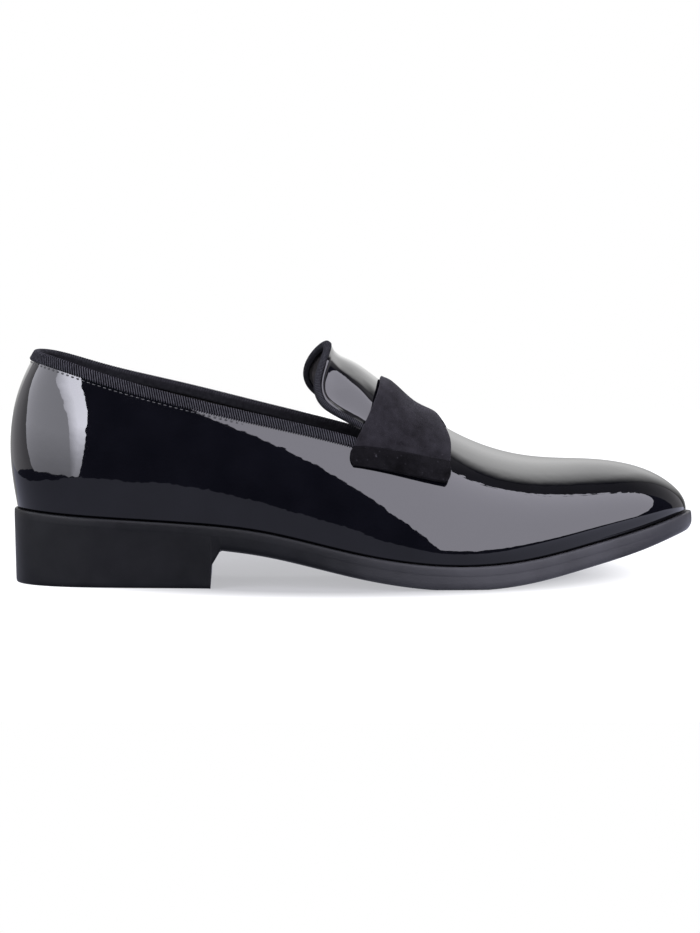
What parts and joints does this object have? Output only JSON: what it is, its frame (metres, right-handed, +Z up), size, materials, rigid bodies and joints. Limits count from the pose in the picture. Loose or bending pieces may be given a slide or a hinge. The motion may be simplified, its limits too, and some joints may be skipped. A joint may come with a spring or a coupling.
{
  "type": "dress loafer",
  "caption": "Black patent evening loafer for the right foot: ribbon-bound collar, raised tongue, velvet strap across the instep and a moulded sole with a low heel.",
  "frame": {"origin": "on the floor under the middle of the shoe's box", "axes": "+X from heel to toe, +Z up, outer side of the right foot at -Y"},
  "size_m": [0.3014, 0.0986, 0.1068],
  "materials": {
    "patent": "black patent leather, mirror gloss",
    "ribbon": "black ribbed grosgrain ribbon, dull sheen",
    "velvet": "black velvet with a short nap",
    "sole": "black moulded sole, satin",
    "lining": "black lining leather, matt"
  },
  "bodies": {
    "root": {"outsole": "sole", "insole": "lining", "upper": "patent", "collar_binding": "ribbon", "tongue_binding": "ribbon", "strap": "velvet", "strap_end_lateral": "velvet", "strap_end_medial": "velvet"}
  },
  "joints": []
}
